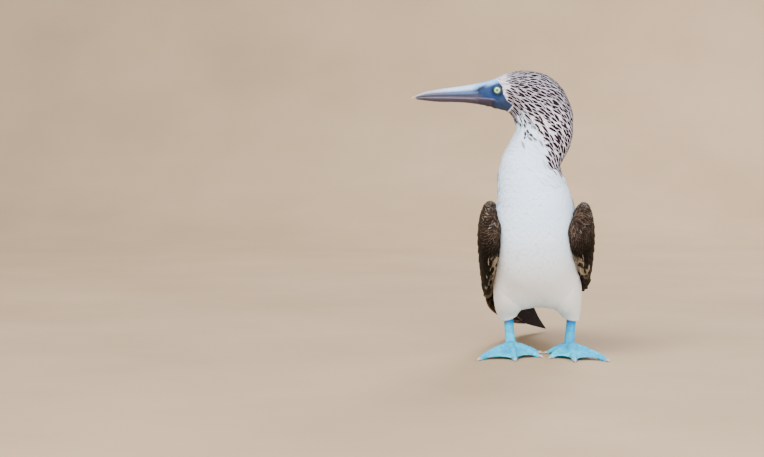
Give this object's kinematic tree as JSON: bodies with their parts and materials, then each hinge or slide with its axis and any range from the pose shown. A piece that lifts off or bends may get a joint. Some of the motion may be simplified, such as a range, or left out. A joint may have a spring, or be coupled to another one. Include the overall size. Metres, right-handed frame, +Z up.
{
  "type": "blue footed booby figure",
  "caption": "Life size blue footed booby standing upright with its head turned to its right, bright blue webbed feet level on the floor.",
  "frame": {"origin": "on the floor under the middle of the whole bird's box", "axes": "+Z up, -Y is the way the bird's body faces, +X to the bird's left; the bill points along -X"},
  "size_m": [0.261, 0.3948, 0.3785],
  "materials": {
    "white_down": "soft matte white body feathers",
    "streaked_down": "pale feathers with dark brown centres",
    "brown_vane": "dark brown feathers with paler edges",
    "face_skin": "slate blue bare skin",
    "bill_horn": "blue grey horn, paler at the tip",
    "iris": "clear glossy yellow green eye with a black pupil",
    "blue_skin": "bright turquoise blue skin",
    "claw_horn": "pale horn"
  },
  "bodies": {
    "root": {"torso": "white_down", "neck": "white_down", "head": "streaked_down", "face": "face_skin", "lid_left": "face_skin", "lid_right": "face_skin", "eye_left": "iris", "eye_right": "iris", "upper_bill": "bill_horn", "lower_bill": "bill_horn", "wing_right": "brown_vane", "wing_left": "brown_vane", "tail": "brown_vane", "thigh_left": "white_down", "tarsus_left": "blue_skin", "foot_left": "blue_skin", "claw_left_1": "claw_horn", "claw_left_2": "claw_horn", "claw_left_3": "claw_horn", "claw_left_4": "claw_horn", "thigh_right": "white_down", "tarsus_right": "blue_skin", "foot_right": "blue_skin", "claw_right_1": "claw_horn", "claw_right_2": "claw_horn", "claw_right_3": "claw_horn", "claw_right_4": "claw_horn"}
  },
  "joints": []
}
